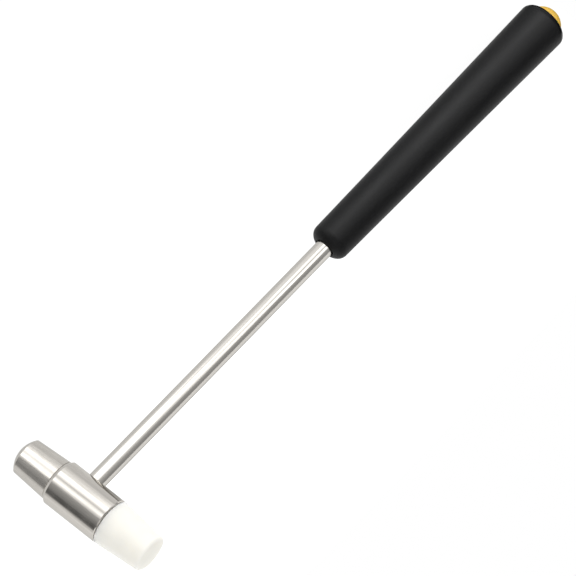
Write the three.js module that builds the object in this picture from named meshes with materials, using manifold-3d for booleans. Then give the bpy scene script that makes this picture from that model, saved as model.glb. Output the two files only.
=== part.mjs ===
// A small two-face mallet lying on its side: a steel barrel head with a screw-on domed steel face and a
// screw-on nylon face, a bright steel rod, and a black flared grip closed by a domed plug.
// Millimetres, +Z up. +X runs from the head to the butt, the steel face points along +Y, the nylon face along -Y.
// The origin is under the middle of the object, on the surface that it lies on.
import * as THREE from 'three';
import { mergeVertices } from 'three/addons/utils/BufferGeometryUtils.js';
import Module from 'manifold-3d';

// ---- driving dimensions ---------------------------------------------------------------------------
// Distances along the rod (x) and along the head (y) start where the two axes cross.
const SEG = 48;                   // facets around every turned piece
const FIT_GAP = 0.1;              // clearance between fixed pieces
const THREAD_CLEARANCE = 0.08;    // clearance around the studs

const SHAFT_R = 3.0;              // 6 mm rod
const SHAFT_HEAD_END = -4.2;      // how far the rod passes the head axis inside the barrel
const SHAFT_TAIL_END = 194.0;     // end of the rod's tail inside the handle
const TAIL_RIB_START = 150.0;     // grooved stretch that keys the tail into the core
const TAIL_RIB_PITCH = 8.0;
const TAIL_RIB_COUNT = 5;

const BARREL_R = 7.75;
const BARREL_STEEL_END = 8.93;    // end face on the steel side
const BARREL_STEP_LEN = 0.98;     // bevel down to the steel nose
const BARREL_NYLON_END = 12.0;    // end face on the nylon side
const BARREL_EDGE = 0.3;          // small bevel at the nylon side
const HOLE_BOTTOM = 4.4;          // bottom of both tapped holes in the barrel

const STUD_R = 2.95;              // M6 stud
const STUD_ENGAGED = 9.0;         // length of stud inside each face
const STUD_INNER = 4.55;          // inner end of both studs
const STUD_CHAMFER = 0.5;

const NOSE_BASE = 8.98;           // where the steel face starts
const NOSE_BASE_R = 7.0;
const NOSE_BASE_EDGE = 0.22;      // small bevel that makes the fine joint line
const NOSE_EDGE = 21.6;           // where the tapered side ends
const NOSE_EDGE_R = 6.162;
const DOME_R = 9.0;               // radius of the domed striking end
const DOME_CENTRE = 15.08;

const NYLON_BASE = 12.34;         // the fine dark seam is the 0.34 mm between barrel and nylon
const NYLON_BASE_R = 7.72;
const NYLON_END = 28.86;
const NYLON_END_R = 6.33;
const NYLON_ROUND = 1.05;

const GRIP_NOSE_X = 117.4;        // where the rounded front turns into the flared side
const GRIP_NOSE_H = 4.03;         // depth of the rounded front
const GRIP_NOSE_R = 6.46;
const GRIP_NOSE_POWER = 2.35;     // 2 would be an ellipse; higher is fuller at the shoulder
const GRIP_SIDE_END = 218.0;      // where the side turns into the rounded butt
const GRIP_BUTT_ROUND = 2.9;
const GRIP_MOUTH_X = 114.25;      // bottom of the countersink around the rod
const GRIP_MOUTH_R = 3.12;
const GRIP_SINK_R = 3.6;

const CORE_FRONT = 116.4;
const CORE_FRONT_R = 4.2;
const CORE_REAR = 218.5;
const CORE_REAR_R = 5.4;
const CORE_BORE_R = 3.1;
const CORE_BORE_END = 194.6;
const CAP_SOCKET_R = 3.7;
const CAP_SOCKET_END = 207.5;

const CAP_R = 5.4;
const CAP_SEAT = 218.6;
const CAP_SPIGOT_R = 3.6;
const CAP_SPIGOT_END = 208.0;
const CAP_DOME_R = 6.2;
const CAP_DOME_CENTRE = 218.24;
const CAP_SIDE_END = 221.13;      // where the plug's side turns into its dome

// radius of the grip's flared side, and of the core inside it, at x
const gripR = (x) => GRIP_NOSE_R + 0.0143 * (x - GRIP_NOSE_X) + 0.0000195 * (x - GRIP_NOSE_X) ** 2;
const coreR = (x) => CORE_FRONT_R + (CORE_REAR_R - CORE_FRONT_R) * (x - CORE_FRONT) / (CORE_REAR - CORE_FRONT);
const GRIP_MAX_R = gripR(GRIP_SIDE_END);

// ---- helpers --------------------------------------------------------------------------------------
const V = (r, y) => new THREE.Vector2(r, y);

// turned solid about its own Y axis; the profile runs up the outside
function turned(profile) {
  const lathe = new THREE.LatheGeometry(profile, SEG);
  lathe.deleteAttribute('normal');
  lathe.deleteAttribute('uv');
  const g = mergeVertices(lathe, 1e-5);
  // a lathe leaves zero-area triangles on its axis: drop them
  const idx = g.getIndex().array;
  const keep = [];
  for (let i = 0; i < idx.length; i += 3) {
    const [a, b, c] = [idx[i], idx[i + 1], idx[i + 2]];
    if (a !== b && b !== c && a !== c) keep.push(a, b, c);
  }
  g.setIndex(keep);
  return g;
}

const wasm = await Module();
wasm.setup();

function toSolid(g) {
  return new wasm.Manifold(new wasm.Mesh({
    numProp: 3,
    vertProperties: new Float32Array(g.getAttribute('position').array),
    triVerts: new Uint32Array(g.getIndex().array),
  }));
}

function fromSolid(s) {
  const m = s.getMesh();
  const g = new THREE.BufferGeometry();
  g.setAttribute('position', new THREE.BufferAttribute(new Float32Array(m.vertProperties), 3));
  g.setIndex(new THREE.BufferAttribute(new Uint32Array(m.triVerts), 1));
  return g;
}

const steel = (rough) => new THREE.MeshStandardMaterial({ color: 0xc9c7c2, roughness: rough, metalness: 1.0 });
const plastic = (hex, rough) => new THREE.MeshStandardMaterial({ color: hex, roughness: rough, metalness: 0.0 });

function add(group, name, geometry, material) {
  geometry.computeVertexNormals();
  const mesh = new THREE.Mesh(geometry, material);
  mesh.name = name;
  group.add(mesh);
  return mesh;
}

// ---- the object -----------------------------------------------------------------------------------
const object = new THREE.Group();

// the axes cross at this place, so that the origin sits under the middle of the object's box
const X_MIN = -BARREL_R;
const X_MAX = CAP_DOME_CENTRE + CAP_DOME_R;
const Y_MIN = -NYLON_END;
const Y_MAX = DOME_CENTRE + DOME_R;
const mallet = new THREE.Group();
mallet.position.set(-(X_MIN + X_MAX) / 2, -(Y_MIN + Y_MAX) / 2, GRIP_MAX_R);
object.add(mallet);

// pieces turned about the head axis, which is Y already
const head = new THREE.Group();
mallet.add(head);

// pieces turned about the rod axis: their own Y becomes +X
const rod = new THREE.Group();
rod.rotation.z = -Math.PI / 2;
mallet.add(rod);

const holeR = STUD_R + THREAD_CLEARANCE;

// head barrel: a tapped hole in each end, cross-drilled for the rod
{
  const blank = turned([
    V(0, -HOLE_BOTTOM), V(holeR, -HOLE_BOTTOM), V(holeR, -BARREL_NYLON_END),
    V(BARREL_R - BARREL_EDGE, -BARREL_NYLON_END), V(BARREL_R, -BARREL_NYLON_END + BARREL_EDGE),
    V(BARREL_R, BARREL_STEEL_END - BARREL_STEP_LEN), V(NOSE_BASE_R, BARREL_STEEL_END),
    V(holeR, BARREL_STEEL_END), V(holeR, HOLE_BOTTOM), V(0, HOLE_BOTTOM),
  ]);
  const drill = turned([
    V(0, SHAFT_HEAD_END - FIT_GAP), V(SHAFT_R + FIT_GAP, SHAFT_HEAD_END - FIT_GAP),
    V(SHAFT_R + FIT_GAP, BARREL_R + 2), V(0, BARREL_R + 2),
  ]);
  drill.rotateZ(-Math.PI / 2);
  add(head, 'head_barrel', fromSolid(toSolid(blank).subtract(toSolid(drill))), steel(0.22));
}

// steel face: tapped socket in its base, tapered side, lightly broken edge, domed end
{
  const top = NOSE_BASE + STUD_ENGAGED + 0.4;
  const dome = (r) => V(r, DOME_CENTRE + Math.sqrt(DOME_R ** 2 - r ** 2));
  add(head, 'steel_face', turned([
    V(0, top), V(holeR, top), V(holeR, NOSE_BASE), V(NOSE_BASE_R - NOSE_BASE_EDGE, NOSE_BASE),
    V(NOSE_BASE_R - 0.015, NOSE_BASE + NOSE_BASE_EDGE), V(NOSE_EDGE_R, NOSE_EDGE),
    dome(6.1), dome(5.8), dome(5.1), dome(4.1), dome(2.9), dome(1.5), dome(0),
  ]), steel(0.26));
}

// nylon face: flat end, softly rounded edge, tapered side, tapped socket in its base
{
  const k = NYLON_ROUND;
  const slope = (NYLON_BASE_R - NYLON_END_R) / (NYLON_END - NYLON_BASE);
  const sideR = NYLON_END_R + slope * k;
  const flatR = NYLON_END_R - k;
  const pts = [V(0, -NYLON_END), V(flatR, -NYLON_END)];
  for (let i = 1; i <= 6; i++) {
    const t = (i / 6) * Math.PI / 2;
    pts.push(V(flatR + (sideR - flatR) * Math.sin(t), -NYLON_END + k * (1 - Math.cos(t))));
  }
  const bottom = -NYLON_BASE - STUD_ENGAGED - 0.4;
  pts.push(V(NYLON_BASE_R, -NYLON_BASE - 0.12), V(NYLON_BASE_R - 0.12, -NYLON_BASE),
    V(holeR, -NYLON_BASE), V(holeR, bottom), V(0, bottom));
  add(head, 'nylon_face', turned(pts), plastic(0xf4f3ec, 0.45));
}

// the two threaded studs
function stud(y0, y1) {
  const c = STUD_CHAMFER;
  return turned([V(0, y0), V(STUD_R - c, y0), V(STUD_R, y0 + c), V(STUD_R, y1 - c), V(STUD_R - c, y1), V(0, y1)]);
}
add(head, 'steel_face_stud', stud(STUD_INNER, NOSE_BASE + STUD_ENGAGED), steel(0.4));
add(head, 'nylon_face_stud', stud(-NYLON_BASE - STUD_ENGAGED, -STUD_INNER), steel(0.4));

// rod with a grooved tail
{
  const pts = [V(0, SHAFT_HEAD_END), V(SHAFT_R - 0.4, SHAFT_HEAD_END), V(SHAFT_R, SHAFT_HEAD_END + 0.4)];
  for (let i = 0; i < TAIL_RIB_COUNT; i++) {
    const x = TAIL_RIB_START + i * TAIL_RIB_PITCH;
    pts.push(V(SHAFT_R, x), V(SHAFT_R - 0.35, x + 0.5), V(SHAFT_R - 0.35, x + 2.0), V(SHAFT_R, x + 2.5));
  }
  pts.push(V(SHAFT_R, SHAFT_TAIL_END - 0.6), V(SHAFT_R - 0.6, SHAFT_TAIL_END), V(0, SHAFT_TAIL_END));
  add(rod, 'shaft', turned(pts), steel(0.2));
}

// rigid core of the handle: bored for the rod's tail in front, for the plug's spigot behind
add(rod, 'handle_core', turned([
  V(0, CORE_BORE_END), V(CORE_BORE_R, CORE_BORE_END), V(CORE_BORE_R, CORE_FRONT),
  V(CORE_FRONT_R - 0.5, CORE_FRONT), V(coreR(CORE_FRONT + 0.5), CORE_FRONT + 0.5),
  V(CORE_REAR_R, CORE_REAR), V(CAP_SOCKET_R, CORE_REAR), V(CAP_SOCKET_R, CAP_SOCKET_END), V(0, CAP_SOCKET_END),
]), plastic(0x2a2a2a, 0.6));

// black grip: countersunk mouth around the rod, rounded front, flared side, rounded butt
{
  const n = GRIP_NOSE_POWER;
  const front = (r) => V(r, GRIP_NOSE_X - GRIP_NOSE_H * (1 - (r / GRIP_NOSE_R) ** n) ** (1 / n));
  const pts = [V(GRIP_MOUTH_R, GRIP_MOUTH_X)];
  for (const r of [GRIP_SINK_R, 4.35, 5.05, 5.6, 6.0, 6.28, 6.42]) pts.push(front(r));
  for (const x of [GRIP_NOSE_X, 135, 155, 175, 195, GRIP_SIDE_END]) pts.push(V(gripR(x), x));
  const cR = GRIP_MAX_R - GRIP_BUTT_ROUND;
  const innerR = CORE_REAR_R + FIT_GAP;
  const last = Math.acos((innerR - cR) / GRIP_BUTT_ROUND);
  for (let i = 1; i <= 6; i++) {
    const t = last * i / 6;
    pts.push(V(cR + GRIP_BUTT_ROUND * Math.cos(t), GRIP_SIDE_END + GRIP_BUTT_ROUND * Math.sin(t)));
  }
  pts.push(V(innerR, CORE_REAR),
    V(coreR(CORE_FRONT + 0.5) + FIT_GAP, CORE_FRONT + 0.5 - FIT_GAP),
    V(CORE_FRONT_R - 0.5 + FIT_GAP, CORE_FRONT - FIT_GAP),
    V(GRIP_MOUTH_R, CORE_FRONT - FIT_GAP), V(GRIP_MOUTH_R, GRIP_MOUTH_X));
  add(rod, 'grip_sleeve', turned(pts), plastic(0x202122, 0.7));
}

// domed plug in the butt
{
  const pts = [
    V(0, CAP_SPIGOT_END), V(CAP_SPIGOT_R - 0.4, CAP_SPIGOT_END), V(CAP_SPIGOT_R, CAP_SPIGOT_END + 0.4),
    V(CAP_SPIGOT_R, CAP_SEAT), V(CAP_R, CAP_SEAT), V(CAP_R, CAP_SIDE_END),
  ];
  for (const r of [5.25, 4.7, 3.9, 2.9, 1.6, 0]) {
    pts.push(V(r, CAP_DOME_CENTRE + Math.sqrt(CAP_DOME_R ** 2 - r ** 2)));
  }
  add(rod, 'end_cap', turned(pts), plastic(0xe9b64a, 0.4));
}

export default object;
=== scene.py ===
import math

import bmesh
import bpy
from mathutils import Matrix, Vector


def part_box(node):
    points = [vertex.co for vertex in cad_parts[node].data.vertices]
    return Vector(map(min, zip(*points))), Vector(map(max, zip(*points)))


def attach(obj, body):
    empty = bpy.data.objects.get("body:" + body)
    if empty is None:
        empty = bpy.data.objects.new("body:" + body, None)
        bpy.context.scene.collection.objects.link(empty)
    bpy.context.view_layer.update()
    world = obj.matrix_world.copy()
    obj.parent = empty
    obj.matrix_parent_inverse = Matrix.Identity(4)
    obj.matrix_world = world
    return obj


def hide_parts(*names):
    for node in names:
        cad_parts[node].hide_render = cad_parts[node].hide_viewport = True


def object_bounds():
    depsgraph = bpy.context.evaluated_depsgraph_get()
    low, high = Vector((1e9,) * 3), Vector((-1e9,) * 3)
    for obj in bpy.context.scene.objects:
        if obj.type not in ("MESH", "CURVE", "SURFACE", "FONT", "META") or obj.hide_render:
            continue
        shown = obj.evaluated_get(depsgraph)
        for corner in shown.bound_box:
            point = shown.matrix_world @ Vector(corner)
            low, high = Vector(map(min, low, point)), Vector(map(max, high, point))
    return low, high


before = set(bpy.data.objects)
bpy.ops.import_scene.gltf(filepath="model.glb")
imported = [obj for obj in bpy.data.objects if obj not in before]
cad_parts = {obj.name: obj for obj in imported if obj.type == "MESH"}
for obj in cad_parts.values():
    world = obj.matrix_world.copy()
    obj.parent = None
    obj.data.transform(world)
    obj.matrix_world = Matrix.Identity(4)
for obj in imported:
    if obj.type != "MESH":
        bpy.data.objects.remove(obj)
cad_lo, cad_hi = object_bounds()

# ---------------------------------------------------------------------------------------------------
# Frame: everything is worked out in millimetres from the point where the rod axis crosses the head axis.
# ---------------------------------------------------------------------------------------------------
MM = 0.001
_b, _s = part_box("head_barrel"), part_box("shaft")
CROSS = Vector(((_b[0].x + _b[1].x) / 2, (_s[0].y + _s[1].y) / 2, (_s[0].z + _s[1].z) / 2))


def grip_r(x):
    """Radius of the grip's flared side, x along the rod."""
    return 6.46 + 0.0143 * (x - 117.4) + 0.0000195 * (x - 117.4) ** 2


# ---------------------------------------------------------------------------------------------------
# Profiles: lists of (a, r), a along the axis, r from it.
# ---------------------------------------------------------------------------------------------------
def rounded(points, n=6):
    """Points are (a, r) or (a, r, radius): each radius becomes an arc of n steps."""
    out = []
    for i, p in enumerate(points):
        rad = p[2] if len(p) > 2 else 0.0
        p1 = Vector(p[:2])
        if rad <= 0 or i in (0, len(points) - 1):
            out.append((p1.x, p1.y))
            continue
        d1 = (Vector(points[i - 1][:2]) - p1).normalized()
        d2 = (Vector(points[i + 1][:2]) - p1).normalized()
        half = d1.angle(d2) / 2
        t = rad / math.tan(half)
        c = p1 + (d1 + d2).normalized() * (rad / math.sin(half))
        v1, v2 = p1 + d1 * t - c, p1 + d2 * t - c
        sweep = math.atan2(v1.x * v2.y - v1.y * v2.x, v1.dot(v2))
        for k in range(n + 1):
            w = sweep * k / n
            q = c + Vector((v1.x * math.cos(w) - v1.y * math.sin(w), v1.x * math.sin(w) + v1.y * math.cos(w)))
            out.append((q.x, q.y))
    return out


def dense(points, step=2.0, guard=0.05):
    """Splits long straight runs, with a close pair of loops at their ends, so that smooth shading stays flat on them."""
    out = [points[0]]
    for p, q in zip(points[:-1], points[1:]):
        a, b = Vector(p), Vector(q)
        length = (b - a).length
        if length > 6 * guard:
            cuts = [guard / length]
            n = max(1, round((length - 2 * guard) / step))
            cuts += [(guard + (length - 2 * guard) * k / n) / length for k in range(1, n)]
            cuts += [1 - guard / length]
            for c in cuts:
                v = a.lerp(b, c)
                out.append((v.x, v.y))
        out.append((b.x, b.y))
    return out


# ---------------------------------------------------------------------------------------------------
# Meshes
# ---------------------------------------------------------------------------------------------------
class Shape:
    """Collects rings of vertices in millimetres and makes one closed mesh of them, in metres, in the row frame."""

    def __init__(self, axis):
        self.axis, self.verts, self.faces = axis, [], []

    def point(self, a, u, v):
        self.verts.append((a, u, v) if self.axis == "X" else (u, a, v))
        return len(self.verts) - 1

    def ring(self, a, r, n, turn=0.0):
        if r < 1e-6:
            return [self.point(a, 0.0, 0.0)]
        return [self.point(a, r * math.cos(turn + 2 * math.pi * k / n), r * math.sin(turn + 2 * math.pi * k / n)) for k in range(n)]

    def join(self, p, q):
        n = max(len(p), len(q))
        for k in range(n):
            k2 = (k + 1) % n
            if len(p) == 1:
                self.faces.append((p[0], q[k], q[k2]))
            elif len(q) == 1:
                self.faces.append((p[k], q[0], p[k2]))
            else:
                self.faces.append((p[k], q[k], q[k2], p[k2]))

    def lathe(self, profile, n):
        closed = (Vector(profile[0]) - Vector(profile[-1])).length < 1e-6
        rings = [self.ring(a, r, n) for a, r in (profile[:-1] if closed else profile)]
        for p, q in zip(rings[:-1], rings[1:]):
            self.join(p, q)
        if closed:
            self.join(rings[-1], rings[0])
        return self

    def build(self, name, node, body, slot, sharp=32.0):
        bm = bmesh.new()
        vs = [bm.verts.new(CROSS + Vector(v) * MM) for v in self.verts]
        for f in self.faces:
            bm.faces.new([vs[i] for i in f])
        bm.normal_update()
        if bm.calc_volume(signed=True) < 0:
            bmesh.ops.reverse_faces(bm, faces=bm.faces[:])
        open_edges = [e for e in bm.edges if len(e.link_faces) != 2]
        if open_edges:
            raise RuntimeError(f"{name} has {len(open_edges)} open edges")
        for f in bm.faces:
            f.smooth = True
        bm.normal_update()
        for e in bm.edges:
            e.smooth = e.calc_face_angle(0.0) < math.radians(sharp)
        mesh = bpy.data.meshes.new(name)
        bm.to_mesh(mesh)
        bm.free()
        obj = bpy.data.objects.new(name, mesh)
        bpy.context.scene.collection.objects.link(obj)
        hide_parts(node)
        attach(obj, body)
        return obj


def make_shaft():
    pts = [(-4.2, 0.0), (-4.2, 3.0, 0.4)]
    for i in range(5):
        x = 150.0 + 8.0 * i
        pts += [(x, 3.0, 0.12), (x + 0.5, 2.65, 0.12), (x + 2.0, 2.65, 0.12), (x + 2.5, 3.0, 0.12)]
    pts += [(194.0, 3.0, 0.55), (194.0, 0.0)]
    return Shape("X").lathe(dense(rounded(pts, 5), step=3.0), 128).build("shaft_rod", "shaft", "mallet", "rod_steel")


def make_grip():
    # rounded front: a full-shouldered curve from the countersunk mouth to the side
    e = 0.85
    t0 = math.asin((3.62 / 6.46) ** (1 / e))
    front = [(117.4 - 4.03 * max(0.0, math.cos(t)) ** e, 6.46 * math.sin(t) ** e) for t in [t0 + (math.pi / 2 - t0) * (k / 36) for k in range(37)]]
    mouth = rounded([(115.2, 3.12), (114.22, 3.12, 0.1), (front[0][0] + 0.02, front[0][1] - 0.06, 0.1), front[3]], 5)
    mouth = dense(mouth[:-1], step=0.3)
    side = [(117.4 + k * 0.75, grip_r(117.4 + k * 0.75)) for k in range(1, 134)]
    side.append((218.0, grip_r(218.0)))
    c_r = grip_r(218.0) - 2.9
    butt = []
    end = math.acos((5.62 - c_r) / 2.9)
    for k in range(1, 25):
        t = end * k / 24
        butt.append((218.0 + 2.9 * math.sin(t), c_r + 2.9 * math.cos(t)))
    rim = rounded([butt[-1], (butt[-1][0] + 0.01, 5.46, 0.1), (218.5, 5.46)], 5)[1:]
    inner = [(116.9, 4.31), (116.3, 3.75), (116.3, 3.12), mouth[0]]
    prof = mouth + front[2:] + side + butt + dense(rim, step=2.0) + dense([rim[-1]] + inner, step=8.0)[1:]
    return Shape("X").lathe(prof, 160).build("grip", "grip_sleeve", "mallet", "grip_rubber")


def make_core():
    pts = [(194.6, 0.0), (194.6, 3.1), (116.4, 3.1, 0.2), (116.4, 3.75, 0.2), (116.9, 4.2, 0.3), (218.5, 5.35, 0.25), (218.5, 3.7, 0.2), (207.5, 3.7), (207.5, 0.0)]
    return Shape("X").lathe(dense(rounded(pts, 4), step=6.0), 96).build("core", "handle_core", "mallet", "core_plastic")


def make_cap():
    c, rad = 218.24, 6.2
    dome = [(c + rad * math.cos(t), rad * math.sin(t)) for t in [math.asin(5.2 / rad) * (1 - k / 24) for k in range(25)]]
    body = dense(rounded([(208.0, 0.0), (208.0, 3.6, 0.4), (218.6, 3.6, 0.1), (218.6, 5.36, 0.15), (221.2, 5.36, 0.22), dome[0]], 5), step=1.0)
    prof = body[:-1] + dome
    prof[-1] = (prof[-1][0], 0.0)
    return Shape("X").lathe(prof, 128).build("end_plug", "end_cap", "mallet", "cap_plastic")


def make_steel_face():
    # tapered side, lightly broken edge, domed end; countersunk socket in the base
    c, rad = 15.04, 9.0
    dome = [(c + rad * math.cos(t), rad * math.sin(t)) for t in [math.asin(6.10 / rad) * (1 - k / 32) for k in range(33)]]
    dome[-1] = (dome[-1][0], 0.0)
    body = dense(rounded([(18.38, 0.0), (18.38, 3.03), (9.4, 3.03, 0.1), (8.94, 3.45, 0.05), (8.94, 6.74, 0.03), (9.18, 6.984, 0.03), (21.60, 6.162, 0.07), dome[0]], 6), step=0.8)
    return Shape("Y").lathe(body[:-1] + dome, 192).build("steel_nose", "steel_face", "steel_tip", "head_steel")


def make_nylon_face():
    pts = [(-21.74, 0.0), (-21.74, 3.03), (-12.8, 3.03, 0.1), (-12.34, 3.5, 0.1), (-12.34, 7.71, 0.12), (-28.86, 6.33, 1.05), (-28.86, 0.0)]
    return Shape("Y").lathe(dense(rounded(pts, 14), step=0.8), 192).build("nylon_nose", "nylon_face", "nylon_tip", "white_nylon")


def make_stud(name, node, body, a0, a1):
    """M6 stud with a real right-hand helix, pitch 1 mm, chamfered ends."""
    n, per = 72, 12
    lo, hi = min(a0, a1), max(a0, a1)
    rows = int(round((hi - lo) * per))
    s = Shape("Y")
    rings = [s.ring(lo, 0.0, n), [s.point(lo, 2.2 * math.cos(2 * math.pi * k / n), 2.2 * math.sin(2 * math.pi * k / n)) for k in range(n)]]
    for j in range(rows + 1):
        a = lo + (hi - lo) * j / rows
        ring = []
        for k in range(n):
            t = 2 * math.pi * k / n
            # turning from +X towards +Z is a negative turn about +Y, so this phase climbs along +Y as a right-hand thread
            ph = (a + t / (2 * math.pi)) % 1.0
            v = 1 - abs(2 * ph - 1)
            r = 2.42 + 0.53 * min(1.0, max(0.0, (v - 0.12) / 0.72))
            r = min(r, 2.32 + 1.1 * min(a - lo, hi - a))
            ring.append(s.point(a, r * math.cos(t), r * math.sin(t)))
        rings.append(ring)
    rings += [[s.point(hi, 2.2 * math.cos(2 * math.pi * k / n), 2.2 * math.sin(2 * math.pi * k / n)) for k in range(n)], s.ring(hi, 0.0, n)]
    for p, q in zip(rings[:-1], rings[1:]):
        s.join(p, q)
    return s.build(name, node, body, "stud_steel", sharp=50.0)


def make_barrel():
    """Turned barrel with a real cross hole for the rod: the outer surface is a grid with a round patch around the hole."""
    R, n = 7.75, 192
    s = Shape("Y")
    m = 16                                    # the patch covers m facets each way from the hole's middle
    half_y = 4.06
    ys_patch = [-half_y + 2 * half_y * k / (2 * m) for k in range(2 * m + 1)]
    lower = dense([(-11.66, 0), (-half_y, 0)], step=0.6)
    upper = dense([(half_y, 0), (7.9, 0)], step=0.6)
    ys = [p[0] for p in lower[:-1]] + ys_patch + [p[0] for p in upper[1:]]
    first = len(lower) - 1                    # index of the patch's lowest row
    grid = {}
    for j, y in enumerate(ys):
        for k in range(n):
            kk = k if k <= n // 2 else k - n
            inside = abs(kk) < m and first < j < first + 2 * m
            if not inside:
                t = 2 * math.pi * k / n
                grid[j, k] = s.point(y, R * math.cos(t), R * math.sin(t))
    for j in range(len(ys) - 1):
        for k in range(n):
            k2 = (k + 1) % n
            c = [grid.get((j, k)), grid.get((j + 1, k)), grid.get((j + 1, k2)), grid.get((j, k2))]
            kk = k if k < n // 2 else k - n
            if -m <= kk < m and first <= j < first + 2 * m:
                continue
            s.faces.append(tuple(c))
    # the patch: its square border, then rings that close in on the hole
    border = [(j, -m) for j in range(0, 2 * m)] + [(2 * m, k) for k in range(-m, m)] + [(j, m) for j in range(2 * m, 0, -1)] + [(0, k) for k in range(m, -m, -1)]
    outer = [grid[first + j, k % n] for j, k in border]
    flat = [(R * 2 * math.pi * k / n, ys_patch[j]) for j, k in border]
    rings = [outer]
    rim = 3.22
    angles = [math.atan2(y, u) for u, y in flat]
    steps = 7
    for i in range(1, steps + 1):
        w = 1 - (1 - i / steps) ** 1.3
        ring = []
        for (u, y), f in zip(flat, angles):
            hz, hy = rim * math.cos(f), rim * math.sin(f)
            hu = R * math.asin(hz / R)
            uu, yy = u + (hu - u) * w, y + (hy - y) * w
            ring.append(s.point(yy, R * math.cos(uu / R), R * math.sin(uu / R)))
        rings.append(ring)
    # broken edge of the hole, then its wall and its bottom
    for r, sink in ((3.19, 0.012), (3.14, 0.05), (3.1, 0.11), (3.085, 0.2)):
        ring = []
        for f in angles:
            z, y = r * math.cos(f), r * math.sin(f)
            ring.append(s.point(y, math.sqrt(R * R - z * z) - sink, z))
        rings.append(ring)
    for depth in (4.6, 1.0, -3.9, -4.3):
        rings.append([s.point(3.085 * math.sin(f), depth, 3.085 * math.cos(f)) for f in angles])
    rings.append([s.point(0.0, -4.3, 0.0)])
    for p, q in zip(rings[:-1], rings[1:]):
        s.join(p, q)
    # nylon end: bevel, face, countersunk tapped hole
    ends = []
    prof = dense(rounded([(-11.66, 7.75), (-11.68, 7.75, 0.03), (-12.0, 7.43, 0.05), (-12.0, 3.5, 0.06), (-11.5, 3.03, 0.1), (-4.4, 3.03), (-4.4, 0.0)], 5), step=0.8)
    row = [grid[0, k] for k in range(n)]
    for a, r in prof[1:]:
        nxt = s.ring(a, r, n)
        s.join(row, nxt)
        row = nxt
    # steel end: bevel down to the nose, face, countersunk tapped hole
    prof = dense(rounded([(7.9, 7.75), (7.95, 7.75, 0.05), (8.93, 7.02, 0.03), (8.93, 3.5, 0.06), (8.45, 3.03, 0.1), (4.4, 3.03), (4.4, 0.0)], 5), step=0.8)
    row = [grid[len(ys) - 1, k] for k in range(n)]
    for a, r in prof[1:]:
        nxt = s.ring(a, r, n)
        s.join(nxt, row)
        row = nxt
    return s


def build_barrel():
    s = make_barrel()
    bm = bmesh.new()
    vs = [bm.verts.new(CROSS + Vector(v) * MM) for v in s.verts]
    for f in s.faces:
        bm.faces.new([vs[i] for i in f])
    bmesh.ops.recalc_face_normals(bm, faces=bm.faces[:])
    if bm.calc_volume(signed=True) < 0:
        bmesh.ops.reverse_faces(bm, faces=bm.faces[:])
    bad = [e for e in bm.edges if len(e.link_faces) != 2]
    if bad:
        raise RuntimeError(f"barrel has {len(bad)} open edges")
    for f in bm.faces:
        f.smooth = True
    bm.normal_update()
    for e in bm.edges:
        e.smooth = e.calc_face_angle(0.0) < math.radians(32.0)
    mesh = bpy.data.meshes.new("barrel")
    bm.to_mesh(mesh)
    bm.free()
    obj = bpy.data.objects.new("barrel", mesh)
    bpy.context.scene.collection.objects.link(obj)
    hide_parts("head_barrel")
    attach(obj, "mallet")
    return obj


barrel = build_barrel()
steel_nose = make_steel_face()
nylon_nose = make_nylon_face()
steel_stud = make_stud("steel_stud", "steel_face_stud", "steel_thread", 4.55, 17.98)
nylon_stud = make_stud("nylon_stud", "nylon_face_stud", "nylon_thread", -21.34, -4.55)
shaft = make_shaft()
core = make_core()
grip = make_grip()
cap = make_cap()


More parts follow.
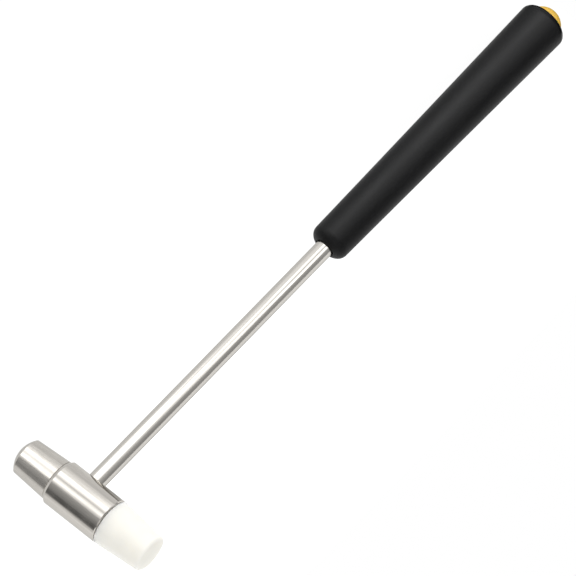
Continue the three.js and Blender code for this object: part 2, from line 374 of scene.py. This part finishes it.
# ---------------------------------------------------------------------------------------------------
# Materials
# ---------------------------------------------------------------------------------------------------
class Mat:
    """A node material with short helpers. Coordinates are the piece's own, in millimetres from the axes' crossing."""

    def __init__(self, name):
        self.mat = bpy.data.materials.new(name)
        self.mat.use_nodes = True
        self.nt = self.mat.node_tree
        self.nt.nodes.clear()
        self.out = self.nt.nodes.new("ShaderNodeOutputMaterial")
        self.bsdf = self.nt.nodes.new("ShaderNodeBsdfPrincipled")
        self.link(self.bsdf.outputs["BSDF"], self.out.inputs["Surface"])
        tc = self.nt.nodes.new("ShaderNodeTexCoord")
        sub = self.vmath("SUBTRACT", tc.outputs["Object"], tuple(CROSS))
        self.mm = self.vmath("SCALE", sub, scale=1000.0)
        sep = self.nt.nodes.new("ShaderNodeSeparateXYZ")
        self.link(self.mm, sep.inputs[0])
        self.x, self.y, self.z = sep.outputs

    def link(self, a, b):
        self.nt.links.new(a, b)

    def _in(self, socket, value):
        if isinstance(value, bpy.types.NodeSocket):
            self.link(value, socket)
        else:
            socket.default_value = value

    def vmath(self, op, a, b=None, scale=None):
        n = self.nt.nodes.new("ShaderNodeVectorMath")
        n.operation = op
        self._in(n.inputs[0], a)
        if b is not None:
            self._in(n.inputs[1], b)
        if scale is not None:
            self._in(n.inputs["Scale"], scale)
        return n.outputs["Value"] if op in ("LENGTH", "DOT_PRODUCT") else n.outputs["Vector"]

    def math(self, op, a, b=None, c=None, clamp=False):
        n = self.nt.nodes.new("ShaderNodeMath")
        n.operation, n.use_clamp = op, clamp
        for i, v in enumerate((a, b, c)):
            if v is not None:
                self._in(n.inputs[i], v)
        return n.outputs[0]

    def vec(self, x, y, z):
        n = self.nt.nodes.new("ShaderNodeCombineXYZ")
        for i, v in enumerate((x, y, z)):
            self._in(n.inputs[i], v)
        return n.outputs[0]

    def noise(self, vector, scale=1.0, detail=2.0, rough=0.5, distortion=0.0):
        n = self.nt.nodes.new("ShaderNodeTexNoise")
        self.link(vector, n.inputs["Vector"])
        n.inputs["Scale"].default_value = scale
        n.inputs["Detail"].default_value = detail
        n.inputs["Roughness"].default_value = rough
        n.inputs["Distortion"].default_value = distortion
        return n.outputs["Fac"]

    def noise1(self, w, scale=1.0, detail=2.0, rough=0.5):
        n = self.nt.nodes.new("ShaderNodeTexNoise")
        n.noise_dimensions = "1D"
        self.link(w, n.inputs["W"])
        n.inputs["Scale"].default_value = scale
        n.inputs["Detail"].default_value = detail
        n.inputs["Roughness"].default_value = rough
        return n.outputs["Fac"]

    def voronoi(self, vector, scale, randomness=1.0):
        n = self.nt.nodes.new("ShaderNodeTexVoronoi")
        self.link(vector, n.inputs["Vector"])
        n.inputs["Scale"].default_value = scale
        n.inputs["Randomness"].default_value = randomness
        return n.outputs["Distance"]

    def remap(self, value, a, b, c, d, smooth=False):
        n = self.nt.nodes.new("ShaderNodeMapRange")
        n.interpolation_type = "SMOOTHSTEP" if smooth else "LINEAR"
        n.clamp = True
        self.link(value, n.inputs["Value"])
        for key, v in zip(("From Min", "From Max", "To Min", "To Max"), (a, b, c, d)):
            n.inputs[key].default_value = v
        return n.outputs["Result"]

    def mix(self, fac, a, b):
        n = self.nt.nodes.new("ShaderNodeMix")
        n.data_type = "RGBA"
        self._in(n.inputs["Factor"], fac)
        for s, v in ((n.inputs[6], a), (n.inputs[7], b)):
            if isinstance(v, bpy.types.NodeSocket):
                self.link(v, s)
            else:
                s.default_value = (*v, 1.0)
        return n.outputs[2]

    def bump(self, height, distance, strength=1.0, normal=None):
        n = self.nt.nodes.new("ShaderNodeBump")
        n.inputs["Strength"].default_value = strength
        n.inputs["Distance"].default_value = distance
        self.link(height, n.inputs["Height"])
        if normal is not None:
            self.link(normal, n.inputs["Normal"])
        return n.outputs["Normal"]

    def set(self, **values):
        for key, v in values.items():
            s = self.bsdf.inputs[key.replace("_", " ")]
            if isinstance(v, bpy.types.NodeSocket):
                self.link(v, s)
            elif isinstance(v, tuple) and len(v) == 3 and s.type == "RGBA":
                s.default_value = (*v, 1.0)
            else:
                s.default_value = v


def head_steel(name, base_rough, along):
    """Fine turned steel: hair-fine rings around the head axis, soft smudges, a few tiny pits, polish lines along it."""
    m = Mat(name)
    r = m.math("SQRT", m.math("ADD", m.math("MULTIPLY", m.x, m.x), m.math("MULTIPLY", m.z, m.z)))
    wob = m.noise(m.mm, 0.25, 2.0)
    t = m.math("ADD", m.math("ADD", m.y, r), m.math("MULTIPLY", wob, 0.12))
    fine = m.noise1(t, 9.0, 3.0, 0.65)
    broad = m.noise1(t, 1.1, 2.0, 0.5)
    smudge = m.noise(m.mm, 0.22, 3.0, 0.55)
    pits = m.remap(m.noise(m.mm, 2.1, 1.0), 0.735, 0.79, 0.0, 1.0, True)
    rough = m.math("ADD", m.remap(fine, 0.3, 0.7, base_rough - 0.03, base_rough + 0.03), m.remap(smudge, 0.35, 0.7, -0.02, 0.05))
    rough = m.math("ADD", rough, m.math("MULTIPLY", pits, 0.12))
    tint = m.mix(m.remap(smudge, 0.3, 0.7, 0.0, 1.0), (0.555, 0.531, 0.496), (0.528, 0.504, 0.467))
    tint = m.mix(m.math("MULTIPLY", pits, 0.4), tint, (0.28, 0.27, 0.25))
    lines = m.noise(m.vec(m.x, m.math("MULTIPLY", m.y, 0.05), m.z), 3.4, 3.0, 0.6)
    rough = m.math("ADD", rough, m.remap(lines, 0.35, 0.7, -along, along))
    height = m.math("ADD", m.math("MULTIPLY", fine, 0.6), m.math("MULTIPLY", broad, 0.6))
    height = m.math("ADD", height, m.math("MULTIPLY", lines, 30.0 * along))
    streaks = m.noise(m.vec(m.x, m.math("MULTIPLY", m.y, 0.045), m.z), 1.15, 3.0, 0.62)
    tint = m.mix(m.remap(streaks, 0.36, 0.68, 0.0, 0.42), tint, (0.41, 0.391, 0.362))
    m.set(Base_Color=tint, Metallic=1.0, Roughness=rough, Anisotropic=0.45, Anisotropic_Rotation=0.25, Specular_Tint=(0.72, 0.72, 0.71))
    tan = m.nt.nodes.new("ShaderNodeTangent")
    tan.direction_type, tan.axis = "RADIAL", "Y"
    m.link(tan.outputs[0], m.bsdf.inputs["Tangent"])
    ground = m.bump(streaks, 0.000012 + 0.00026 * along, 0.8)
    m.link(m.bump(height, 0.0000012, 0.5, ground), m.bsdf.inputs["Normal"])
    return m.mat


def rod_steel():
    """Drawn and polished bar: streaks along its length."""
    m = Mat("drawn_steel")
    streak = m.noise(m.vec(m.math("MULTIPLY", m.x, 0.012), m.y, m.z), 5.5, 3.0, 0.6)
    hair = m.noise(m.vec(m.math("MULTIPLY", m.x, 0.03), m.y, m.z), 16.0, 2.0, 0.5)
    smudge = m.noise(m.mm, 0.16, 3.0, 0.55)
    rough = m.math("ADD", m.remap(streak, 0.3, 0.7, 0.11, 0.19), m.remap(smudge, 0.4, 0.7, 0.0, 0.05))
    tint = m.mix(m.remap(streak, 0.3, 0.7, 0.0, 1.0), (0.559, 0.538, 0.504), (0.522, 0.500, 0.467))
    height = m.math("ADD", m.math("MULTIPLY", streak, 0.6), m.math("MULTIPLY", hair, 0.4))
    m.set(Base_Color=tint, Metallic=1.0, Roughness=rough, Specular_Tint=(0.60, 0.60, 0.59))
    m.link(m.bump(height, 0.000003, 0.5), m.bsdf.inputs["Normal"])
    return m.mat


def stud_steel():
    m = Mat("threaded_steel")
    n1 = m.noise(m.mm, 0.9, 4.0, 0.6)
    n2 = m.noise(m.mm, 7.0, 2.0, 0.5)
    tint = m.mix(m.remap(n1, 0.3, 0.7, 0.0, 1.0), (0.46, 0.45, 0.43), (0.36, 0.34, 0.31))
    m.set(Base_Color=tint, Metallic=1.0, Roughness=m.remap(n1, 0.3, 0.7, 0.24, 0.42))
    m.link(m.bump(n2, 0.000004, 0.5), m.bsdf.inputs["Normal"])
    return m.mat


def white_nylon():
    """Turned nylon: soft, milky, with faint tool rings and a few tiny specks."""
    m = Mat("white_nylon")
    r = m.math("SQRT", m.math("ADD", m.math("MULTIPLY", m.x, m.x), m.math("MULTIPLY", m.z, m.z)))
    t = m.math("ADD", m.math("SUBTRACT", m.y, r), m.math("MULTIPLY", m.noise(m.mm, 0.3, 2.0), 0.15))
    rings = m.noise1(t, 6.0, 2.0, 0.6)
    cloud = m.noise(m.mm, 0.2, 3.0, 0.55)
    grain = m.noise(m.mm, 5.0, 2.0, 0.6)
    specks = m.remap(m.noise(m.mm, 1.15, 1.0), 0.745, 0.775, 0.0, 1.0, True)
    tint = m.mix(m.remap(cloud, 0.3, 0.7, 0.0, 1.0), (0.796, 0.782, 0.731), (0.772, 0.758, 0.706))
    tint = m.mix(m.math("MULTIPLY", specks, 0.25), tint, (0.62, 0.58, 0.50))
    rough = m.math("ADD", m.remap(rings, 0.3, 0.7, 0.36, 0.46), m.remap(cloud, 0.3, 0.7, -0.03, 0.05))
    height = m.math("ADD", m.math("MULTIPLY", rings, 0.7), m.math("MULTIPLY", grain, 0.3))
    m.set(Base_Color=tint, Roughness=rough, IOR=1.28, Subsurface_Weight=1.0, Subsurface_Scale=0.0050)
    m.bsdf.inputs["Subsurface Radius"].default_value = (1.0, 0.97, 0.92)
    m.link(m.bump(height, 0.000006, 0.5), m.bsdf.inputs["Normal"])
    return m.mat


def grip_rubber():
    """Matt black grip: fine lengthwise grain, faint polish marks."""
    m = Mat("black_grip")
    grain = m.noise(m.vec(m.math("MULTIPLY", m.x, 0.12), m.y, m.z), 3.2, 4.0, 0.65)
    fine = m.noise(m.mm, 9.0, 2.0, 0.6)
    patch = m.noise(m.vec(m.math("MULTIPLY", m.x, 0.35), m.y, m.z), 0.16, 3.0, 0.55)
    tint = m.mix(m.remap(patch, 0.3, 0.7, 0.0, 1.0), (0.0014, 0.0015, 0.0017), (0.0024, 0.0024, 0.0026))
    tint = m.mix(m.remap(grain, 0.45, 0.75, 0.0, 0.45), tint, (0.0085, 0.0086, 0.0090))
    rough = m.math("ADD", m.remap(grain, 0.3, 0.7, 0.44, 0.52), m.remap(patch, 0.3, 0.7, -0.03, 0.04))
    # the rounded rim of the butt is worn smoother
    rim = m.remap(m.x, 218.2, 219.2, 0.0, 1.0, True)
    rough = m.math("SUBTRACT", rough, m.math("MULTIPLY", rim, 0.24))
    height = m.math("ADD", m.math("MULTIPLY", grain, 0.65), m.math("MULTIPLY", fine, 0.35))
    m.set(Base_Color=tint, Roughness=rough, IOR=1.22)
    m.link(m.bump(height, 0.000030, 0.5), m.bsdf.inputs["Normal"])
    return m.mat


def core_plastic():
    m = Mat("dark_plastic")
    n1 = m.noise(m.mm, 0.5, 3.0, 0.55)
    n2 = m.noise(m.mm, 6.0, 2.0, 0.5)
    tint = m.mix(m.remap(n1, 0.3, 0.7, 0.0, 1.0), (0.045, 0.045, 0.046), (0.060, 0.060, 0.060))
    m.set(Base_Color=tint, Roughness=m.remap(n1, 0.3, 0.7, 0.45, 0.6))
    m.link(m.bump(n2, 0.00001, 0.3), m.bsdf.inputs["Normal"])
    return m.mat


def cap_plastic():
    """Yellow plug: smooth moulded plastic with a slight orange-peel and tiny scuffs."""
    m = Mat("yellow_plug")
    cloud = m.noise(m.mm, 0.35, 3.0, 0.55)
    peel = m.noise(m.mm, 2.4, 2.0, 0.5)
    fine = m.noise(m.mm, 11.0, 2.0, 0.6)
    tint = m.mix(m.remap(cloud, 0.3, 0.7, 0.0, 1.0), (0.660, 0.420, 0.067), (0.612, 0.380, 0.055))
    m.set(Base_Color=tint, Roughness=m.remap(fine, 0.3, 0.7, 0.34, 0.46), IOR=1.42, Subsurface_Weight=0.25, Subsurface_Scale=0.0015)
    m.bsdf.inputs["Subsurface Radius"].default_value = (1.0, 0.5, 0.2)
    height = m.math("ADD", m.math("MULTIPLY", peel, 0.8), m.math("MULTIPLY", fine, 0.2))
    m.link(m.bump(height, 0.000012, 0.4), m.bsdf.inputs["Normal"])
    return m.mat


M_HEAD, M_NOSE = head_steel("turned_steel", 0.14, 0.035), head_steel("brushed_nose", 0.23, 0.07)
M_ROD, M_STUD = rod_steel(), stud_steel()
for obj, mat in (
    (barrel, M_HEAD), (steel_nose, M_NOSE), (steel_stud, M_STUD), (nylon_stud, M_STUD), (shaft, M_ROD),
    (nylon_nose, white_nylon()), (core, core_plastic()), (grip, grip_rubber()), (cap, cap_plastic()),
):
    obj.data.materials.append(mat)


# ---------------------------------------------------------------------------------------------------
# Stage: pale floor, soft light, camera
# ---------------------------------------------------------------------------------------------------
scene = bpy.context.scene

fm = bpy.data.meshes.new("floor")
bm = bmesh.new()
# a plain white sheet: the object lies near one corner of it
FX0, FX1, FY0, FY1, FR = CROSS.x - 0.069, cad_hi.x + 0.006, CROSS.y - 0.066, CROSS.y + 1.2, 0.02
ring = []
for cx, cy, a0 in ((FX1 - FR, FY1 - FR, 0), (FX0 + FR, FY1 - FR, 90), (FX0 + FR, FY0 + FR, 180), (FX1 - FR, FY0 + FR, 270)):
    for k in range(13):
        a = math.radians(a0 + 7.5 * k)
        ring.append(bm.verts.new((cx + FR * math.cos(a), cy + FR * math.sin(a), -0.0003)))
bm.faces.new(ring)
bm.to_mesh(fm)
bm.free()
floor = bpy.data.objects.new("floor", fm)
scene.collection.objects.link(floor)
f = bpy.data.materials.new("pale_floor")
f.use_nodes = True
fb = f.node_tree.nodes["Principled BSDF"]
fb.inputs["Base Color"].default_value = (0.10, 0.10, 0.10, 1.0)
fb.inputs["Roughness"].default_value = 0.9
fb.inputs["Specular IOR Level"].default_value = 0.1
fb.inputs["Emission Color"].default_value = (1.0, 1.0, 1.0, 1.0)
# it is lit a little more on the near side
fn = f.node_tree
f_tc, f_dot, f_map = fn.nodes.new("ShaderNodeTexCoord"), fn.nodes.new("ShaderNodeVectorMath"), fn.nodes.new("ShaderNodeMapRange")
f_dot.operation = "DOT_PRODUCT"
f_dot.inputs[1].default_value = (0.12, 1.0, 0.0)
f_map.interpolation_type = "SMOOTHSTEP"
f_at = 0.12 * CROSS.x + CROSS.y
for key, v in (("From Min", f_at + 0.005), ("From Max", f_at + 0.035), ("To Min", 1.09), ("To Max", 0.87)):
    f_map.inputs[key].default_value = v
fn.links.new(f_tc.outputs["Object"], f_dot.inputs[0])
fn.links.new(f_dot.outputs["Value"], f_map.inputs["Value"])
fn.links.new(f_map.outputs["Result"], fb.inputs["Emission Strength"])
floor.data.materials.append(f)

# A soft studio: bright overhead panel, light far side, dim near side.
world = bpy.data.worlds.new("studio")
scene.world = world
world.use_nodes = True
nt = world.node_tree
nt.nodes.clear()


def wnode(kind, **props):
    n = nt.nodes.new(kind)
    for k, v in props.items():
        setattr(n, k, v)
    return n


tc = wnode("ShaderNodeTexCoord")
sep = wnode("ShaderNodeSeparateXYZ")
nt.links.new(tc.outputs["Generated"], sep.inputs[0])


def ramp(socket, stops):
    n = wnode("ShaderNodeValToRGB")
    cr = n.color_ramp
    cr.interpolation = "EASE"
    while len(cr.elements) < len(stops):
        cr.elements.new(0.5)
    for e, (p, v) in zip(cr.elements, stops):
        e.position, e.color = p, (v, v, v, 1.0)
    nt.links.new(socket, n.inputs[0])
    return n.outputs[0]


def wmath(op, a, b):
    n = wnode("ShaderNodeMath", operation=op)
    for i, v in enumerate((a, b)):
        if isinstance(v, bpy.types.NodeSocket):
            nt.links.new(v, n.inputs[i])
        else:
            n.inputs[i].default_value = v
    return n.outputs[0]


def wrange(value, lo, hi, a=0.0, b=1.0, smooth=False):
    n = wnode("ShaderNodeMapRange", interpolation_type="SMOOTHSTEP" if smooth else "LINEAR")
    for key, v in (("From Min", lo), ("From Max", hi), ("To Min", a), ("To Max", b)):
        n.inputs[key].default_value = v
    nt.links.new(value, n.inputs["Value"])
    return n.outputs["Result"]


def wscale(colour, value):
    n = wnode("ShaderNodeMix", data_type="RGBA", blend_type="MULTIPLY")
    n.inputs["Factor"].default_value = 1.0
    nt.links.new(colour, n.inputs[6])
    nt.links.new(value, n.inputs[7])
    return n.outputs[2]


def by_height(stops):
    """Levels by the height of the direction, from a little under the horizon to straight up."""
    return ramp(wrange(sep.outputs["Z"], -0.25, 1.0), [((z + 0.25) / 1.25, v) for z, v in stops])


def wadd(colour, value):
    n = wnode("ShaderNodeMix", data_type="RGBA", blend_type="ADD")
    n.inputs["Factor"].default_value = 1.0
    nt.links.new(colour, n.inputs[6])
    nt.links.new(value, n.inputs[7])
    return n.outputs[2]


near = by_height([(-0.25, 0.16), (0.0, 0.12), (0.20, 0.14), (0.36, 0.28), (0.52, 0.39), (0.66, 0.46), (1.0, 0.7)])
# lighter towards the far left, and a soft fill from the near left corner
turn = wrange(sep.outputs["Y"], 0.31, 0.43, 0.0, 1.0, True)
near = wscale(near, wmath("ADD", wmath("MULTIPLY", turn, 0.3), 1.0))
near = wadd(near, wmath("MULTIPLY", turn, wrange(sep.outputs["Z"], -0.05, 0.65, 0.32, 0.0)))
fill = wmath("MULTIPLY", wrange(sep.outputs["Y"], 0.15, -0.15, 0.0, 1.0, True), wrange(sep.outputs["X"], 0.0, -0.50, 0.0, 1.0, True))
fill = wmath("MULTIPLY", fill, wrange(sep.outputs["Y"], -0.75, -0.35, 0.8, 1.0, True))
near = wadd(near, wmath("MULTIPLY", fill, wrange(sep.outputs["Z"], -0.10, 0.10, 0.0, 1.25)))
far = by_height([(-0.25, 0.04), (-0.14, 0.06), (-0.08, 0.88), (0.03, 0.98), (0.33, 0.89), (0.52, 1.00), (0.68, 1.36), (1.0, 1.42)])
tilt = wrange(sep.outputs["Z"], 0.0, 0.35, -0.2, 0.35)
far = wscale(far, wmath("ADD", wmath("MULTIPLY", wmath("SUBTRACT", wmath("MAXIMUM", sep.outputs["Y"], 0.0), 0.3), tilt), 1.0))
# dimmer towards the near right corner
corner = wmath("MULTIPLY", wrange(sep.outputs["X"], 0.66, 0.86, 0.0, 1.0, True), wrange(sep.outputs["Y"], 0.05, -0.15, 0.0, 1.0, True))
far = wscale(far, wmath("SUBTRACT", 1.0, wmath("MULTIPLY", corner, 0.7)))
side = wmath("ADD", wmath("MULTIPLY", sep.outputs["X"], -0.94), wmath("MULTIPLY", sep.outputs["Y"], -0.342))
sel = wnode("ShaderNodeMapRange", interpolation_type="SMOOTHSTEP")
sel.inputs["From Min"].default_value, sel.inputs["From Max"].default_value = -0.45, 0.30
nt.links.new(side, sel.inputs["Value"])
mix = wnode("ShaderNodeMix", data_type="RGBA")
nt.links.new(sel.outputs["Result"], mix.inputs["Factor"])
nt.links.new(far, mix.inputs[6])
nt.links.new(near, mix.inputs[7])
lp = wnode("ShaderNodeLightPath")
cam_mix = wnode("ShaderNodeMix", data_type="RGBA")
nt.links.new(lp.outputs["Is Camera Ray"], cam_mix.inputs["Factor"])
nt.links.new(mix.outputs[2], cam_mix.inputs[6])
cam_mix.inputs[7].default_value = (1.0, 1.0, 1.0, 1.0)
bg = wnode("ShaderNodeBackground")
nt.links.new(cam_mix.outputs[2], bg.inputs["Color"])
wo = wnode("ShaderNodeOutputWorld")
nt.links.new(bg.outputs[0], wo.inputs["Surface"])

# The overhead panel: a wide soft strip, brightest over the middle, with the thin joints of its frame
AZ, EL, DIST = math.radians(-49.114), math.radians(62.411), 2.3
PANEL_Z, PANEL_C, PANEL_B0, PANEL_B1 = 0.328, 0.60, -0.45, 0.26
pm = bpy.data.meshes.new("panel")
bm = bmesh.new()
bmesh.ops.create_grid(bm, x_segments=8, y_segments=8, size=1.0)
for v in bm.verts:
    v.co = Vector((v.co.x * PANEL_C, PANEL_B0 + (PANEL_B1 - PANEL_B0) * (v.co.y + 1) / 2, 0.0))
bmesh.ops.reverse_faces(bm, faces=bm.faces[:])
bm.to_mesh(pm)
bm.free()
panel = bpy.data.objects.new("panel", pm)
scene.collection.objects.link(panel)
panel.location = (0.0, 0.0, PANEL_Z)
# local x runs to the camera's right, local y towards the camera
panel.matrix_world = Matrix.Translation((0.0, 0.0, PANEL_Z)) @ Matrix.Rotation(AZ, 4, "Z") @ Matrix.Scale(-1.0, 4, (0, 1, 0))
panel.visible_camera = False
pmat = bpy.data.materials.new("panel_light")
pmat.use_nodes = True
nt = pmat.node_tree
nt.nodes.clear()
ptc = wnode("ShaderNodeTexCoord")
psep = wnode("ShaderNodeSeparateXYZ")
nt.links.new(ptc.outputs["Object"], psep.inputs[0])
pc, pb = psep.outputs["X"], psep.outputs["Y"]


def prange(value, lo, hi):
    n = wnode("ShaderNodeMapRange")
    n.inputs["From Min"].default_value, n.inputs["From Max"].default_value = lo, hi
    nt.links.new(value, n.inputs["Value"])
    return n.outputs["Result"]


def edge(stops):
    """How far the bright area reaches, as a soft curve along the panel."""
    return ramp(prange(pc, -PANEL_C, PANEL_C), [((c + PANEL_C) / (2 * PANEL_C), v) for c, v in stops])


def falloff(d, stops):
    return ramp(prange(d, -0.25, 0.25), [((x + 0.25) / 0.5, v) for x, v in stops])


front_edge = edge([(-0.60, 0.02), (-0.45, 0.085), (-0.38, 0.118), (-0.31, 0.150), (-0.20, 0.140), (0.0, 0.095), (0.15, 0.075), (0.22, 0.087), (0.28, 0.115), (0.33, 0.105), (0.42, 0.03), (0.60, 0.02)])
back_edge = edge([(-0.60, 0.28), (-0.20, 0.285), (-0.145, 0.262), (-0.10, 0.135), (-0.04, 0.125), (0.03, 0.19), (0.10, 0.25), (0.60, 0.30)])
front_fall = falloff(wmath("SUBTRACT", pb, front_edge), [(-0.25, 1.0), (-0.055, 1.0), (0.0, 0.42), (0.05, 0.19), (0.25, 0.175)])
back_fall = falloff(wmath("SUBTRACT", wmath("MULTIPLY", pb, -1.0), back_edge), [(-0.25, 3.0), (-0.035, 3.0), (0.015, 1.4), (0.12, 1.3), (0.25, 1.10)])


def joint(value, at, core, half, floor_level):
    """A thin joint of the panel's frame: floor_level on it, 1 away from it."""
    d = wmath("ABSOLUTE", wmath("SUBTRACT", value, at), 0.0)
    return wmath("ADD", wmath("MULTIPLY", prange(d, core, half), 1.0 - floor_level), floor_level)


lum = wnode("ShaderNodeMix", data_type="RGBA", blend_type="MULTIPLY")
lum.inputs["Factor"].default_value = 1.0
nt.links.new(back_fall, lum.inputs[6])
# one joint runs along the head, over it; the other crosses over the rod
over_head = wmath("SUBTRACT", wmath("MULTIPLY", pc, 0.65455), wmath("MULTIPLY", pb, 0.75602))
across = wmath("SUBTRACT", wmath("MULTIPLY", pc, -0.75602), wmath("MULTIPLY", pb, 0.65455))


def fade(level, amount):
    """A joint that is only as deep as amount says."""
    return wmath("SUBTRACT", 1.0, wmath("MULTIPLY", wmath("SUBTRACT", 1.0, level), amount))


def span(value, lo, hi):
    """0 at lo, 1 at hi, either way round, soft at both ends."""
    n = wnode("ShaderNodeMapRange", interpolation_type="SMOOTHSTEP")
    n.inputs["From Min"].default_value, n.inputs["From Max"].default_value = lo, hi
    nt.links.new(value, n.inputs["Value"])
    return n.outputs["Result"]


joint_a = fade(joint(over_head, -0.1265, 0.0, 0.11, 0.30), wmath("ADD", wmath("MULTIPLY", span(across, 0.18, 0.12), 0.4), 0.6))
depth_b = wmath("MULTIPLY", wmath("MULTIPLY", span(pc, -0.08, -0.02), span(pc, 0.26, 0.17)), wmath("ADD", wmath("MULTIPLY", span(pc, 0.04, 0.13), 0.55), 0.45))
joint_b = fade(joint(wmath("ADD", pb, wmath("MULTIPLY", pc, 0.09)), -0.040, 0.02, 0.085, 0.28), depth_b)
nt.links.new(wmath("MULTIPLY", front_fall, wmath("MULTIPLY", joint_a, joint_b)), lum.inputs[7])
pem = wnode("ShaderNodeEmission")
nt.links.new(lum.outputs[2], pem.inputs["Color"])
pout = wnode("ShaderNodeOutputMaterial")
nt.links.new(pem.outputs[0], pout.inputs["Surface"])
panel.data.materials.append(pmat)

# A soft strip lamp under the panel, over the handle. It is linked to the black grip, which needs more light than the steel.
LX0, LX1, LY0, LY1 = 0.04, 0.42, -0.24, 0.56
lm = bpy.data.meshes.new("strip")
lm.from_pydata([(LX0, LY0, 0.0), (LX0, LY1, 0.0), (LX1, LY1, 0.0), (LX1, LY0, 0.0)], [], [(0, 1, 2, 3)])
strip = bpy.data.objects.new("strip", lm)
scene.collection.objects.link(strip)
strip.location = (0.0, 0.0, PANEL_Z - 0.006)
strip.visible_camera = False
lit = bpy.data.collections.new("lit_by_strip")
lit.objects.link(grip)
strip.light_linking.receiver_collection = lit
lmat = bpy.data.materials.new("strip_light")
lmat.use_nodes = True
nt = lmat.node_tree
nt.nodes.clear()
ltc, lsep = wnode("ShaderNodeTexCoord"), wnode("ShaderNodeSeparateXYZ")
nt.links.new(ltc.outputs["Object"], lsep.inputs[0])
over = ramp(prange(lsep.outputs["Y"], LY0, LY1), [((y - LY0) / (LY1 - LY0), v) for y, v in ((LY0, 0.0), (-0.17, 0.05), (-0.08, 0.18), (-0.01, 0.48), (0.05, 1.0), (0.11, 1.0), (0.18, 0.62), (0.26, 0.25), (0.40, 0.03), (LY1, 0.0))])
lem = wnode("ShaderNodeEmission")
nt.links.new(over, lem.inputs["Color"])
nt.links.new(wmath("MULTIPLY", wmath("MULTIPLY", span(lsep.outputs["X"], LX0, LX0 + 0.05), span(lsep.outputs["X"], LX1, LX1 - 0.05)), 5.6), lem.inputs["Strength"])
ladd, lout = wnode("ShaderNodeAddShader"), wnode("ShaderNodeOutputMaterial")
nt.links.new(wnode("ShaderNodeBsdfTransparent").outputs[0], ladd.inputs[0])
nt.links.new(lem.outputs[0], ladd.inputs[1])
nt.links.new(ladd.outputs[0], lout.inputs["Surface"])
strip.data.materials.append(lmat)

# Two painted shadows on the floor, hidden from the camera: grey sheets that stand for the shade under the rod and left
# of the head, which the polished steel mirrors


def painted_shade_sheet(name, x0, x1, y0, y1, level, amount):
    """A soft-edged grey sheet of painted shade from (x0, y0) to (x1, y1), in millimetres from the crossing; amount(x,
    y) says how dense it is.
    """
    global nt
    me = bpy.data.meshes.new(name)
    corners = [(x0, y0), (x1, y0), (x1, y1), (x0, y1)]
    me.from_pydata([(CROSS.x + x * MM, CROSS.y + y * MM, -0.0002) for x, y in corners], [], [(0, 1, 2, 3)])
    card = bpy.data.objects.new(name, me)
    scene.collection.objects.link(card)
    card.visible_camera = card.visible_diffuse = card.visible_shadow = False
    mat = bpy.data.materials.new(name)
    mat.use_nodes = True
    nt = mat.node_tree
    nt.nodes.clear()
    c_tc, c_sep = wnode("ShaderNodeTexCoord"), wnode("ShaderNodeSeparateXYZ")
    nt.links.new(c_tc.outputs["Object"], c_sep.inputs[0])
    cx = wmath("MULTIPLY", wmath("SUBTRACT", c_sep.outputs["X"], CROSS.x), 1000.0)
    cy = wmath("MULTIPLY", wmath("SUBTRACT", c_sep.outputs["Y"], CROSS.y), 1000.0)
    em, mix, out = wnode("ShaderNodeEmission"), wnode("ShaderNodeMixShader"), wnode("ShaderNodeOutputMaterial")
    em.inputs["Color"].default_value = (level, level * 0.99, level * 0.97, 1.0)
    nt.links.new(amount(cx, cy), mix.inputs["Fac"])
    nt.links.new(wnode("ShaderNodeBsdfTransparent").outputs[0], mix.inputs[1])
    nt.links.new(em.outputs[0], mix.inputs[2])
    nt.links.new(mix.outputs[0], out.inputs["Surface"])
    me.materials.append(mat)


# Painted shadow of the rod on the floor: a soft band under it, from near the head to the grip.
def rod_shadow_mask(x, y):
    across = wmath("MULTIPLY", span(y, -6.5, -3.2), span(y, 6.0, 2.8))
    return wmath("MULTIPLY", across, wmath("MULTIPLY", span(x, 9.0, 13.0), span(x, 112.0, 82.0)))


# Painted shade on the floor left of the head, denser further out from it.
def head_shade_mask(x, y):
    shade_at = ramp(prange(x, -115.0, -20.0), [((d + 115.0) / 95.0, v) for d, v in ((-115.0, 0.0), (-100.0, 0.9), (-72.0, 0.9), (-66.0, 0.42), (-40.0, 0.31), (-26.0, 0.0))])
    return wmath("MULTIPLY", shade_at, wmath("MULTIPLY", span(y, -45.0, -30.0), span(y, 85.0, 65.0)))


painted_shade_sheet("painted_rod_shadow", 9.0, 112.0, -6.5, 6.0, 0.62, rod_shadow_mask)
painted_shade_sheet("painted_head_shade", -115.0, -20.0, -45.0, 85.0, 0.38, head_shade_mask)

# Camera at the photograph's angle
aim = CROSS + Vector((95.961, -0.5875, -0.057)) * MM
back = Vector((math.sin(AZ) * math.cos(EL), -math.cos(AZ) * math.cos(EL), math.sin(EL)))
cam_data = bpy.data.cameras.new("camera")
cam_data.lens, cam_data.sensor_width = 466.3, 36.0
cam_data.clip_start, cam_data.clip_end = 0.05, 50.0
cam = bpy.data.objects.new("camera", cam_data)
cam.location = aim + back * DIST
cam.rotation_mode = "QUATERNION"
cam.rotation_quaternion = (-back).to_track_quat("-Z", "Y")
scene.collection.objects.link(cam)
scene.camera = cam

scene.view_settings.view_transform = "Standard"
scene.view_settings.look = "None"
scene.view_settings.exposure = 0.0
scene.view_settings.gamma = 1.0
